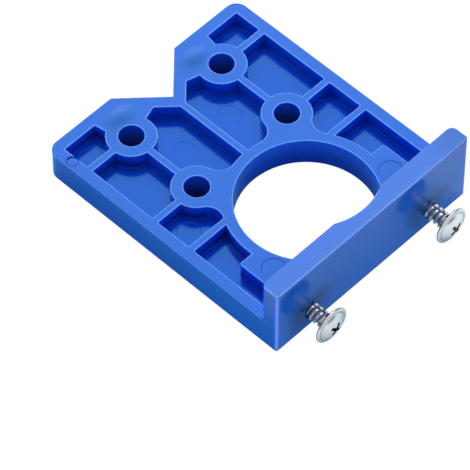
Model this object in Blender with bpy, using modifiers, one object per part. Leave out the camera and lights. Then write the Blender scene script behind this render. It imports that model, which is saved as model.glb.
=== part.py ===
"""Hinge drilling jig for 35 mm cup holes: one moulded body and two edge-stop screws.

Metres, +Z up. The jig lies with its ribbed side up, as it is shown, with the fence along -Y and the
V notch at +Y. Plan sizes are taken from the centre of the cup hole, which is the jig's own datum, and
heights from the flat face. The whole jig is then placed with the middle of its outline on Z and with
the lowest edges of its two screw heads, which reach below the flat face, at height zero.
"""

import math

import bmesh
import bpy
from mathutils import Matrix, Vector

MM = 0.001

# Body: outline and levels
BODY_WIDTH = 64.8 * MM
CUP_TO_FRONT = 21.1 * MM
PLATE_THICKNESS = 8.5 * MM
FENCE_HEIGHT = 21.5 * MM
FENCE_THICKNESS = 5.36 * MM
POCKET_DEPTH = 4.1 * MM
BACK_CORNER_RADIUS = 3.2 * MM
FENCE_OUTER_CORNER_RADIUS = 0.8 * MM
FENCE_INNER_CORNER_RADIUS = 1.8 * MM

# Body: V notch for lining up on a pencil mark
NOTCH_HALF_WIDTH = 10.86 * MM
NOTCH_DEPTH = 10.37 * MM
NOTCH_SHOULDER_RADIUS = 0.6 * MM

# Body: cup hole, its ring and the four pilot bosses
CUP_HOLE_RADIUS = 17.6 * MM
RING_WIDTH = 2.9 * MM
BOSS_SPACING = 30.8 * MM
FENCE_TO_NEAR_BOSSES = 37.2 * MM
BOSS_ROW_SPACING = 21.83 * MM
FAR_BOSS_TO_BACK = 11.61 * MM
BOSS_RADIUS = 6.3 * MM
PILOT_RADIUS = 3.2 * MM
PILOT_DRAFT = math.radians(1.2)
BOSS_RING_FILLET = 4.0 * MM

# Body: walls and ribs
WALL = 3.1 * MM
RIB = 1.85 * MM
CUP_TO_MIDDLE_RIB = 9.54 * MM
POCKET_CORNER_RADIUS = 0.3 * MM
EAR_POCKET_LENGTH = 10.0 * MM
EAR_BOSS_ANGLE = math.radians(57.5)
EAR_WEB_LENGTH = 3.6 * MM
NOTCH_BOSS_ANGLE = math.radians(168.5)

# Body: pads that hold the screws
PAD_HALF_WIDTH = 4.35 * MM
CUP_TO_PAD = 1.5 * MM
PAD_CORNER_RADIUS = 0.8 * MM

# Body: mark that the moulding gate leaves on one rail
GATE_TO_BACK = 7.1 * MM
GATE_RADIUS = 1.15 * MM
GATE_GROOVE_WIDTH = 0.35 * MM
GATE_GROOVE_DEPTH = 0.25 * MM

# Body: rounding of the moulded edges
OUTER_EDGE_ROUND = 0.35 * MM
POCKET_EDGE_ROUND = 0.22 * MM

# Screws: pan washer head tapping screws
SCREW_TO_SIDE = 12.1 * MM
SCREW_HEIGHT = 4.4 * MM
SHANK_RADIUS = 2.1 * MM
SCREW_LENGTH = 16.0 * MM
POINT_LENGTH = 2.2 * MM
POINT_RADIUS = 0.9 * MM
HEAD_RADIUS = 4.9 * MM
COLLAR_THICKNESS = 0.7 * MM
DOME_RADIUS = 3.9 * MM
DOME_HEIGHT = 1.3 * MM
RECESS_SPAN = 4.4 * MM
RECESS_SLOT = 1.0 * MM
RECESS_DEPTH = 1.5 * MM
RECESS_TAPER = 0.45
SCREW_RUNNING_CLEARANCE = 0.3 * MM
SCREW_HOLE_END_CLEARANCE = 1.0 * MM
LEFT_SCREW_REACH = 5.6 * MM
RIGHT_SCREW_REACH = 6.1 * MM
LEFT_RECESS_TURN = math.radians(50)
RIGHT_RECESS_TURN = math.radians(32)

# Facets
CUP_SEGMENTS = 96
BOSS_SEGMENTS = 48
PILOT_SEGMENTS = 32
SCREW_SEGMENTS = 32
ARC_STEP = math.radians(7.5)
ROUND_SEGMENTS = 2
CUT_MARGIN = 1.0 * MM
MERGE_DISTANCE = 0.001 * MM

# Worked out from the sizes above
HALF_WIDTH = BODY_WIDTH / 2
FRONT_Y = -CUP_TO_FRONT
FENCE_INNER_Y = FRONT_Y + FENCE_THICKNESS
FLOOR_HEIGHT = PLATE_THICKNESS - POCKET_DEPTH
RING_RADIUS = CUP_HOLE_RADIUS + RING_WIDTH
BOSS_X = BOSS_SPACING / 2
NEAR_BOSS_Y = FENCE_INNER_Y + FENCE_TO_NEAR_BOSSES
FAR_BOSS_Y = NEAR_BOSS_Y + BOSS_ROW_SPACING
CUP_TO_BACK = FAR_BOSS_Y + FAR_BOSS_TO_BACK
SCREW_X = HALF_WIDTH - SCREW_TO_SIDE
HEAD_HEIGHT = COLLAR_THICKNESS + DOME_HEIGHT
BASE_Z = max(0.0, HEAD_RADIUS - SCREW_HEIGHT)
MIDDLE_Y = (CUP_TO_BACK + FRONT_Y - max(LEFT_SCREW_REACH, RIGHT_SCREW_REACH) - HEAD_HEIGHT) / 2
PLACE = Vector((0.0, -MIDDLE_Y, BASE_Z))


def clear_scene():
    """Remove the objects that the scene starts with."""
    for item in list(bpy.data.objects):
        bpy.data.objects.remove(item, do_unlink=True)


def new_collection(name):
    """Make a collection in the scene."""
    group = bpy.data.collections.new(name)
    bpy.context.scene.collection.children.link(group)
    return group


def make_material(name, colour, roughness, metallic):
    """Make a Principled material of one colour."""
    finish = bpy.data.materials.new(name)
    finish.use_nodes = True
    shader = finish.node_tree.nodes["Principled BSDF"]
    shader.inputs["Base Color"].default_value = (*colour, 1.0)
    shader.inputs["Roughness"].default_value = roughness
    shader.inputs["Metallic"].default_value = metallic
    return finish


def arc(centre, radius, start, end):
    """Return points along an arc, both ends included, in steps of about ARC_STEP."""
    steps = max(2, round(abs(end - start) / ARC_STEP))
    angles = [start + (end - start) * step / steps for step in range(steps + 1)]
    return [Vector((centre[0] + radius * math.cos(a), centre[1] + radius * math.sin(a))) for a in angles]


def angle_to(centre, point):
    """Return the direction from a centre to a point."""
    return math.atan2(point[1] - centre[1], point[0] - centre[0])


def round_corner(before, corner, after, radius):
    """Return the arc that rounds one corner of an outline."""
    to_before = (Vector(before) - Vector(corner)).normalized()
    to_after = (Vector(after) - Vector(corner)).normalized()
    half_angle = to_before.angle(to_after) / 2
    bisector = (to_before + to_after).normalized()
    centre = Vector(corner) + bisector * radius / math.sin(half_angle)
    start = Vector(corner) + to_before * radius / math.tan(half_angle)
    end = Vector(corner) + to_after * radius / math.tan(half_angle)
    start_angle = angle_to(centre, start)
    turn = (angle_to(centre, end) - start_angle + math.pi) % (2 * math.pi) - math.pi
    return arc(centre, radius, start_angle, start_angle + turn)


def rounded_outline(corners):
    """Return the points of a closed outline whose corners, (x, y, radius), are rounded."""
    points = []
    for index, (x, y, radius) in enumerate(corners):
        before = corners[index - 1][:2]
        after = corners[(index + 1) % len(corners)][:2]
        if radius > 0:
            points += round_corner(before, (x, y), after, radius)
        else:
            points.append(Vector((x, y)))
    return points


def mirrored(points):
    """Return an outline mirrored to the other side of the jig."""
    return [Vector((-point[0], point[1])) for point in reversed(points)]


def mesh_object(name, mesh, group):
    """Link a new object that holds a mesh."""
    item = bpy.data.objects.new(name, mesh)
    group.objects.link(item)
    return item


def extruded(name, outlines, bottom, top, group):
    """Extrude flat outlines between two heights, as 2D curves made into one closed mesh."""
    curve = bpy.data.curves.new(name + "_outline", "CURVE")
    curve.dimensions = "2D"
    curve.fill_mode = "BOTH"
    curve.extrude = (top - bottom) / 2
    for outline in outlines:
        spline = curve.splines.new("POLY")
        spline.points.add(len(outline) - 1)
        for point, place in zip(spline.points, outline):
            point.co = (place[0], place[1], 0.0, 1.0)
        spline.use_cyclic_u = True
    holder = bpy.data.objects.new(name + "_outline", curve)
    holder.location.z = (top + bottom) / 2
    group.objects.link(holder)
    bpy.context.view_layer.update()
    evaluated = holder.evaluated_get(bpy.context.evaluated_depsgraph_get())
    mesh = bpy.data.meshes.new_from_object(evaluated)
    mesh.transform(holder.matrix_world)
    bpy.data.objects.remove(holder, do_unlink=True)
    shape = bmesh.new()
    shape.from_mesh(mesh)
    bmesh.ops.remove_doubles(shape, verts=shape.verts, dist=MERGE_DISTANCE)
    bmesh.ops.recalc_face_normals(shape, faces=shape.faces)
    shape.to_mesh(mesh)
    shape.free()
    mesh.name = name
    return mesh_object(name, mesh, group)


def round_bar(name, bottom_radius, top_radius, length, place, segments, group):
    """Make a cylinder or a cone whose axis is given by a placing matrix."""
    shape = bmesh.new()
    bmesh.ops.create_cone(shape, cap_ends=True, segments=segments, radius1=bottom_radius,
                          radius2=top_radius, depth=length, matrix=place)
    mesh = bpy.data.meshes.new(name)
    shape.to_mesh(mesh)
    shape.free()
    return mesh_object(name, mesh, group)


def as_cutter(item):
    """Keep a cutter out of the finished object."""
    item.hide_render = True
    item.display_type = "WIRE"
    return item


def combine(item, other, operation):
    """Add an exact Boolean of another object."""
    step = item.modifiers.new(other.name, "BOOLEAN")
    step.operation = operation
    step.solver = "EXACT"
    step.object = other


def bake_modifiers(item):
    """Turn an object's modifiers into its mesh."""
    bpy.context.view_layer.update()
    evaluated = item.evaluated_get(bpy.context.evaluated_depsgraph_get())
    mesh = bpy.data.meshes.new_from_object(evaluated)
    item.modifiers.clear()
    item.data = mesh


def plate_outline():
    """Outline of the plate: straight rails, rounded back corners and the V notch."""
    back = CUP_TO_BACK
    hidden_front = (FRONT_Y + FENCE_INNER_Y) / 2
    return rounded_outline([
        (-HALF_WIDTH, hidden_front, 0),
        (HALF_WIDTH, hidden_front, 0),
        (HALF_WIDTH, back, BACK_CORNER_RADIUS),
        (NOTCH_HALF_WIDTH, back, NOTCH_SHOULDER_RADIUS),
        (0.0, back - NOTCH_DEPTH, 0),
        (-NOTCH_HALF_WIDTH, back, NOTCH_SHOULDER_RADIUS),
        (-HALF_WIDTH, back, BACK_CORNER_RADIUS),
    ])


def fence_outline():
    """Outline of the fence, sharper at its face than at the edges towards the plate."""
    return rounded_outline([
        (-HALF_WIDTH, FRONT_Y, FENCE_OUTER_CORNER_RADIUS),
        (HALF_WIDTH, FRONT_Y, FENCE_OUTER_CORNER_RADIUS),
        (HALF_WIDTH, FENCE_INNER_Y, FENCE_INNER_CORNER_RADIUS),
        (-HALF_WIDTH, FENCE_INNER_Y, FENCE_INNER_CORNER_RADIUS),
    ])


def fillet_centre(boss, side):
    """Centre of the hollow fillet between the ring and a near boss; side is 1 outside, -1 inside."""
    reach = math.hypot(*boss)
    to_ring = RING_RADIUS + BOSS_RING_FILLET
    to_boss = BOSS_RADIUS + BOSS_RING_FILLET
    along = (to_ring ** 2 - to_boss ** 2 + reach ** 2) / (2 * reach)
    across = math.sqrt(max(0.0, to_ring ** 2 - along ** 2)) * side
    ux, uy = boss[0] / reach, boss[1] / reach
    return Vector((along * ux + across * uy, along * uy - across * ux))


def on_circle_at_y(centre, radius, y):
    """Angle at which a circle's outer half crosses a height in plan."""
    return math.asin((y - centre[1]) / radius)


def ear_pocket():
    """Pocket in the corner behind the far boss."""
    boss = (BOSS_X, FAR_BOSS_Y)
    outer = HALF_WIDTH - WALL
    back = CUP_TO_BACK - WALL
    front = FAR_BOSS_Y + RIB / 2
    rim = arc(boss, BOSS_RADIUS, on_circle_at_y(boss, BOSS_RADIUS, front), EAR_BOSS_ANGLE)
    corner = POCKET_CORNER_RADIUS
    inner_back = (outer - EAR_POCKET_LENGTH, back)
    lead = round_corner((outer, back), inner_back, rim[-1], corner)
    ends = round_corner((outer, front), (outer, back), inner_back, corner)
    start = round_corner(rim[0], (outer, front), (outer, back), corner)
    return start + ends + lead + list(reversed(rim))


def rail_pocket():
    """Pocket along the rail between the two bosses."""
    far, near = (BOSS_X, FAR_BOSS_Y), (BOSS_X, NEAR_BOSS_Y)
    outer = HALF_WIDTH - WALL
    inner = BOSS_X + RIB / 2
    back = FAR_BOSS_Y - RIB / 2
    front = NEAR_BOSS_Y + RIB / 2
    half = math.asin((RIB / 2) / BOSS_RADIUS)
    far_rim = arc(far, BOSS_RADIUS, -half, -math.pi / 2 + half)
    near_rim = arc(near, BOSS_RADIUS, math.pi / 2 - half, half)
    start = round_corner(near_rim[-1], (outer, front), (outer, back), POCKET_CORNER_RADIUS)
    end = round_corner((outer, front), (outer, back), far_rim[0], POCKET_CORNER_RADIUS)
    rib_side = [Vector((inner, far_rim[-1][1])), Vector((inner, near_rim[0][1]))]
    return start + end + far_rim[:-1] + rib_side + near_rim[1:]


def waist_pocket():
    """Pocket outside the near boss, with the hollow fillet that runs into the ring."""
    near = (BOSS_X, NEAR_BOSS_Y)
    outer = HALF_WIDTH - WALL
    back = NEAR_BOSS_Y - RIB / 2
    front = CUP_TO_MIDDLE_RIB + RIB / 2
    hollow = fillet_centre(near, 1)
    boss_end = angle_to(near, hollow)
    half = math.asin((RIB / 2) / BOSS_RADIUS)
    rim = arc(near, BOSS_RADIUS, -half, boss_end)
    ring_touch = math.atan2(hollow[1], hollow[0])
    rib_angle = math.asin(front / RING_RADIUS)
    if ring_touch > rib_angle:
        hollow_end = ring_touch + math.pi
        ring = arc((0.0, 0.0), RING_RADIUS, ring_touch, rib_angle)
    else:
        hollow_end = math.pi - math.asin((front - hollow[1]) / BOSS_RING_FILLET)
        ring = []
    bend = arc(hollow, BOSS_RING_FILLET, boss_end + math.pi, hollow_end) + ring[1:]
    start = round_corner(bend[-1], (outer, front), (outer, back), POCKET_CORNER_RADIUS)
    end = round_corner((outer, front), (outer, back), rim[0], POCKET_CORNER_RADIUS)
    return start + end + rim + bend[1:]


def front_pocket():
    """Pocket between the ring, the screw pad, the rail and the fence."""
    outer = HALF_WIDTH - WALL
    back = CUP_TO_MIDDLE_RIB - RIB / 2
    pad_side = SCREW_X + PAD_HALF_WIDTH
    inside_fence = (FRONT_Y + FENCE_INNER_Y) / 2
    ring = arc((0.0, 0.0), RING_RADIUS, math.asin(back / RING_RADIUS), -math.asin(CUP_TO_PAD / RING_RADIUS))
    pad = round_corner(ring[-1], (pad_side, -CUP_TO_PAD), (pad_side, inside_fence), PAD_CORNER_RADIUS)
    end = round_corner((outer, inside_fence), (outer, back), ring[0], POCKET_CORNER_RADIUS)
    return [Vector((outer, inside_fence))] + end + ring + pad + [Vector((pad_side, inside_fence))]


def centre_pocket():
    """Pocket between the notch wall, the centre rib, the ring and the two bosses."""
    far, near = (BOSS_X, FAR_BOSS_Y), (BOSS_X, NEAR_BOSS_Y)
    slope = NOTCH_DEPTH / NOTCH_HALF_WIDTH
    wall_drop = WALL * math.hypot(1.0, slope)
    apex = CUP_TO_BACK - NOTCH_DEPTH - wall_drop
    inner = RIB / 2
    half = math.asin((RIB / 2) / BOSS_RADIUS)
    hollow = fillet_centre(near, -1)
    boss_start = angle_to(near, hollow) % (2 * math.pi)
    ring_touch = math.atan2(hollow[1], hollow[0])
    ring = arc((0.0, 0.0), RING_RADIUS, math.acos(inner / RING_RADIUS), ring_touch)
    bend = arc(hollow, BOSS_RING_FILLET, ring_touch - math.pi, boss_start - math.pi)
    near_rim = arc(near, BOSS_RADIUS, boss_start, math.pi / 2 + half)
    far_rim = arc(far, BOSS_RADIUS, 3 * math.pi / 2 - half, NOTCH_BOSS_ANGLE)
    rib_side = Vector((BOSS_X - RIB / 2, far_rim[0][1]))
    touch = far_rim[-1]
    shoulder_x = touch[0] - EAR_WEB_LENGTH
    shoulder = Vector((shoulder_x, apex + slope * shoulder_x))
    top = Vector((inner, apex + slope * inner))
    bend_in = round_corner(touch, shoulder, top, POCKET_CORNER_RADIUS)
    bend_top = round_corner(shoulder, top, ring[0], POCKET_CORNER_RADIUS)
    return ring + bend[1:] + near_rim[1:] + [rib_side] + far_rim[1:] + bend_in + bend_top


def make_pocket_cutters(group):
    """Make one cutter for each pocket on each side."""
    cutters = []
    shapes = (("ear", ear_pocket), ("rail", rail_pocket), ("waist", waist_pocket),
              ("front", front_pocket), ("centre", centre_pocket))
    for label, shape in shapes:
        outline = shape()
        for side, points in (("right", outline), ("left", mirrored(outline))):
            name = label + "_pocket_cutter_" + side
            item = extruded(name, [points], FLOOR_HEIGHT, PLATE_THICKNESS + CUT_MARGIN, group)
            cutters.append(as_cutter(item))
    return cutters


def make_hole_cutters(group):
    """Make the cutters of the cup hole, the four pilot holes and the two screw holes."""
    middle = FENCE_HEIGHT / 2
    cutters = [round_bar("cup_hole_cutter", CUP_HOLE_RADIUS, CUP_HOLE_RADIUS, FENCE_HEIGHT + 2 * CUT_MARGIN,
                         Matrix.Translation((0.0, 0.0, middle)), CUP_SEGMENTS, group)]
    length = PLATE_THICKNESS + 2 * CUT_MARGIN
    narrowing = math.tan(PILOT_DRAFT)
    for x in (-BOSS_X, BOSS_X):
        for y in (NEAR_BOSS_Y, FAR_BOSS_Y):
            place = Matrix.Translation((x, y, PLATE_THICKNESS / 2))
            narrow = PILOT_RADIUS - narrowing * (PLATE_THICKNESS + CUT_MARGIN)
            wide = PILOT_RADIUS + narrowing * CUT_MARGIN
            cutters.append(round_bar("pilot_hole_cutter", narrow, wide, length, place, PILOT_SEGMENTS, group))
    depth = SCREW_LENGTH + SCREW_HOLE_END_CLEARANCE
    radius = SHANK_RADIUS + SCREW_RUNNING_CLEARANCE
    for x in (-SCREW_X, SCREW_X):
        centre = (x, FRONT_Y + (depth - CUT_MARGIN) / 2, SCREW_HEIGHT)
        place = Matrix.Translation(centre) @ Matrix.Rotation(math.pi / 2, 4, "X")
        bar = round_bar("screw_hole_cutter", radius, radius, depth + CUT_MARGIN, place, SCREW_SEGMENTS, group)
        cutters.append(bar)
    return [as_cutter(item) for item in cutters]


def make_gate_cutter(group):
    """Make the ring-shaped cutter of the groove round the gate mark, on the left rail."""
    centre = (-(HALF_WIDTH - WALL / 2), CUP_TO_BACK - GATE_TO_BACK)
    full = 2 * math.pi * (1 - 1 / PILOT_SEGMENTS)
    inner = arc(centre, GATE_RADIUS, 0.0, full)
    outer = arc(centre, GATE_RADIUS + GATE_GROOVE_WIDTH, 0.0, full)
    bottom = PLATE_THICKNESS - GATE_GROOVE_DEPTH
    return as_cutter(extruded("gate_mark_cutter", [outer, inner], bottom, PLATE_THICKNESS + CUT_MARGIN, group))


def is_level(face):
    """Tell whether a face is level and looks up."""
    return face.normal.z > 0.999


def on_outer_wall(face):
    """Tell whether an upright face belongs to the outside of the body."""
    middle = face.calc_center_median()
    outward = Vector((face.normal.x, face.normal.y))
    from_cup = Vector((middle.x, middle.y))
    beside_cup = from_cup.length < CUP_HOLE_RADIUS + POCKET_EDGE_ROUND
    if beside_cup:
        return False
    step = from_cup + outward.normalized() * (WALL / 2)
    past_sides = abs(step.x) > HALF_WIDTH or step.y > CUP_TO_BACK or step.y < FRONT_Y
    slope = NOTCH_DEPTH / NOTCH_HALF_WIDTH
    in_notch = step.y > CUP_TO_BACK - NOTCH_DEPTH + slope * abs(step.x)
    above_plate = middle.z > PLATE_THICKNESS
    return past_sides or in_notch or above_plate


def round_top_edges(body):
    """Round the upper edges of the moulding: the outside more than the rims of pockets and holes."""
    for outside, width in ((True, OUTER_EDGE_ROUND), (False, POCKET_EDGE_ROUND)):
        shape = bmesh.new()
        shape.from_mesh(body.data)
        bmesh.ops.remove_doubles(shape, verts=shape.verts, dist=MERGE_DISTANCE)
        bmesh.ops.dissolve_limit(shape, angle_limit=math.radians(0.3), verts=shape.verts, edges=shape.edges)
        chosen = []
        for edge in shape.edges:
            if len(edge.link_faces) != 2 or not edge.is_convex:
                continue
            level = [face for face in edge.link_faces if is_level(face)]
            upright = [face for face in edge.link_faces if abs(face.normal.z) < 0.1]
            if len(level) != 1 or len(upright) != 1:
                continue
            if level[0].calc_center_median().z < FLOOR_HEIGHT + POCKET_DEPTH / 2:
                continue
            if on_outer_wall(upright[0]) == outside:
                chosen.append(edge)
        bmesh.ops.bevel(shape, geom=chosen, offset=width, offset_type="OFFSET", segments=ROUND_SEGMENTS,
                        profile=0.5, affect="EDGES", clamp_overlap=True, loop_slide=True)
        bmesh.ops.remove_doubles(shape, verts=shape.verts, dist=MERGE_DISTANCE)
        shape.to_mesh(body.data)
        shape.free()


def make_body(parts, cutters, finish):
    """Make the moulded body: ribbed plate, fence, pads, bosses and holes in one piece."""
    body = extruded("jig_body", [plate_outline()], 0.0, PLATE_THICKNESS, parts)
    for cutter in make_pocket_cutters(cutters):
        combine(body, cutter, "DIFFERENCE")
    fence = as_cutter(extruded("fence_shape", [fence_outline()], 0.0, FENCE_HEIGHT, cutters))
    combine(body, fence, "UNION")
    for cutter in make_hole_cutters(cutters):
        combine(body, cutter, "DIFFERENCE")
    combine(body, make_gate_cutter(cutters), "DIFFERENCE")
    bake_modifiers(body)
    round_top_edges(body)
    body.data.materials.clear()
    body.data.materials.append(finish)
    body.data.shade_smooth()
    body.data.set_sharp_from_angle(angle=math.radians(35))
    body.location = PLACE
    return body


def screw_profile():
    """Half section of a screw about Z, head up, from the middle of the dome down to the point."""
    top = HEAD_HEIGHT
    dome_centre = (DOME_HEIGHT ** 2 - DOME_RADIUS ** 2) / (2 * DOME_HEIGHT)
    dome_curve = DOME_HEIGHT - dome_centre
    half = math.asin(DOME_RADIUS / dome_curve)
    steps = 6
    profile = [(0.0, top)]
    for step in range(1, steps + 1):
        angle = half * step / steps
        profile.append((dome_curve * math.sin(angle), COLLAR_THICKNESS + dome_centre + dome_curve * math.cos(angle)))
    edge = COLLAR_THICKNESS * 0.3
    profile += [
        (HEAD_RADIUS - edge, COLLAR_THICKNESS),
        (HEAD_RADIUS, COLLAR_THICKNESS - edge),
        (HEAD_RADIUS, 0.0),
        (SHANK_RADIUS, 0.0),
        (SHANK_RADIUS, POINT_LENGTH - SCREW_LENGTH),
        (POINT_RADIUS, -SCREW_LENGTH),
        (0.0, -SCREW_LENGTH),
    ]
    return profile


def make_slot_cutter(name, turn, group):
    """Make the cutter of one slot of the cross recess, shorter towards its bottom."""
    shape = bmesh.new()
    height = RECESS_DEPTH + CUT_MARGIN
    corners = bmesh.ops.create_cube(shape, size=1.0)["verts"]
    for corner in corners:
        narrow = RECESS_TAPER if corner.co.z < 0 else 1.0
        corner.co = (corner.co.x * RECESS_SPAN * narrow, corner.co.y * RECESS_SLOT, corner.co.z * height)
    middle = HEAD_HEIGHT - RECESS_DEPTH + height / 2
    place = Matrix.Rotation(turn, 4, "Z") @ Matrix.Translation((0.0, 0.0, middle))
    bmesh.ops.transform(shape, matrix=place, verts=corners)
    mesh = bpy.data.meshes.new(name)
    shape.to_mesh(mesh)
    shape.free()
    return as_cutter(mesh_object(name, mesh, group))


def make_screw(name, x, reach, recess_turn, parts, cutters, finish):
    """Make one edge-stop screw, whose head stands out from the fence by its reach."""
    mesh = bpy.data.meshes.new(name)
    profile = screw_profile()
    edges = [(index, index + 1) for index in range(len(profile) - 1)]
    mesh.from_pydata([(radius, 0.0, height) for radius, height in profile], edges, [])
    screw = mesh_object(name, mesh, parts)
    turned = screw.modifiers.new("turned", "SCREW")
    turned.axis = "Z"
    turned.steps = SCREW_SEGMENTS
    turned.render_steps = SCREW_SEGMENTS
    turned.use_merge_vertices = True
    turned.merge_threshold = MERGE_DISTANCE
    turned.use_smooth_shade = True
    lie = Matrix.Rotation(math.pi / 2, 4, "X")
    seat = Matrix.Translation(PLACE + Vector((x, FRONT_Y - reach, SCREW_HEIGHT)))
    screw.matrix_world = seat @ lie
    for quarter in (0.0, math.pi / 2):
        slot = make_slot_cutter(name + "_slot_cutter", recess_turn + quarter, cutters)
        slot.matrix_world = seat @ lie
        combine(screw, slot, "DIFFERENCE")
    screw.data.materials.append(finish)
    return screw


def main():
    """Build the jig."""
    clear_scene()
    parts = new_collection("hinge_drilling_jig")
    cutters = new_collection("cutters")
    plastic = make_material("blue_plastic", (0.012, 0.085, 0.52), 0.28, 0.0)
    steel = make_material("plated_steel", (0.72, 0.73, 0.74), 0.25, 1.0)
    make_body(parts, cutters, plastic)
    make_screw("screw_left", -SCREW_X, LEFT_SCREW_REACH, LEFT_RECESS_TURN, parts, cutters, steel)
    make_screw("screw_right", SCREW_X, RIGHT_SCREW_REACH, RIGHT_RECESS_TURN, parts, cutters, steel)


if __name__ == "__main__":
    main()
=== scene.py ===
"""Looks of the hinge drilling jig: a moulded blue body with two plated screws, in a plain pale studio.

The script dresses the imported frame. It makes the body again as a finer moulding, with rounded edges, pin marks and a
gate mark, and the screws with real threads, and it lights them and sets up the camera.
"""

from __future__ import annotations

import logging
import math
from contextlib import contextmanager
from dataclasses import dataclass, field
from enum import Enum
from typing import Callable, Iterator

import bmesh
import bpy
from mathutils import Matrix, Vector


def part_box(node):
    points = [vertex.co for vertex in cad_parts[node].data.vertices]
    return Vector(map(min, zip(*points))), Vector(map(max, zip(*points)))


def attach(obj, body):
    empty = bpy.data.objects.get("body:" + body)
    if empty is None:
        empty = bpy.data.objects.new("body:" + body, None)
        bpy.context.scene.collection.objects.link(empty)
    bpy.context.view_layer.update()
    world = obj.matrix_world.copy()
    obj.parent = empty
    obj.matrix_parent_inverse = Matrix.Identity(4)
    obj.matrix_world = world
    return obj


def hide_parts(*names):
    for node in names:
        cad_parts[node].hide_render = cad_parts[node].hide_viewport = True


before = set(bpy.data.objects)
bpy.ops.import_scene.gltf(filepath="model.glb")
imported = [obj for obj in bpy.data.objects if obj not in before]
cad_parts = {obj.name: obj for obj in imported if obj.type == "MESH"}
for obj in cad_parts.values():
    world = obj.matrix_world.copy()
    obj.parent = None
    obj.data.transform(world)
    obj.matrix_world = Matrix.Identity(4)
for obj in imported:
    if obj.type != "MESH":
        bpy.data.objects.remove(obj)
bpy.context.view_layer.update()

MM = 0.001
MERGE = 1e-6
UPRIGHT = 0.1
COPLANAR = math.radians(0.3)
# Attribute of every corner of the body that holds its painted light and shade, as a place on the colour ramp.
PAINTED_SHADING_LAYER = "painted_shading"
# Attribute of every corner of the screws that holds their painted shade.
PAINTED_SHADE_LAYER = "painted_shade"

logging.basicConfig(level=logging.INFO, format="%(name)s: %(message)s")
log = logging.getLogger("hinge_jig")


class Side(Enum):
    """The two sides of the jig, as signs along X."""

    LEFT = -1
    RIGHT = 1


class Slot(Enum):
    """Material slots of the record."""

    PLASTIC = "blue_plastic"
    STEEL = "plated_steel"


class PaintedShading(Enum):
    """Painted light and shade of the moulding by kind of surface, as places on the colour ramp of its plastic."""

    # Painted shade in holes, undersides, pocket walls, floors and the foot line (SHADE); painted light on the fence
    # top; painted highlights on rounded edges (EDGE) and the fence's top edges (RIDGE).
    HOLE = 0.0
    WALL = 0.1
    FLOOR = 0.25
    SHADE = 0.4
    FACE = 0.5
    TOP = 0.6
    FENCE_TOP = 0.8
    EDGE = 0.9
    RIDGE = 1.0


def combine(operation: str, swapped: bool = False) -> Callable[["Wire", object], "Wire"]:
    """Return the method of an operator that adds a Math node, with the other value first where swapped."""

    def method(wire: "Wire", other: object) -> "Wire":
        """Return the result of the operation."""
        first, second = (other, wire) if swapped else (wire, other)
        return wire.graph.math(operation, first, second)

    return method


class Wire:
    """One socket or number in a node tree, on which Python's operators add Math nodes."""

    def __init__(self, graph: "Graph", value: object) -> None:
        """Hold a socket or a number of a graph."""
        self.graph = graph
        self.value = value

    __add__ = combine("ADD")
    __radd__ = combine("ADD", swapped=True)
    __sub__ = combine("SUBTRACT")
    __rsub__ = combine("SUBTRACT", swapped=True)
    __mul__ = combine("MULTIPLY")
    __rmul__ = combine("MULTIPLY", swapped=True)
    __truediv__ = combine("DIVIDE")

    def clamp(self, low: float, high: float) -> "Wire":
        """Return the value held between two numbers.

        Args:
            low: Least value.
            high: Greatest value.

        Returns:
            The held value.
        """
        return self.graph.math("MINIMUM", self.graph.math("MAXIMUM", self, low), high)


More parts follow.
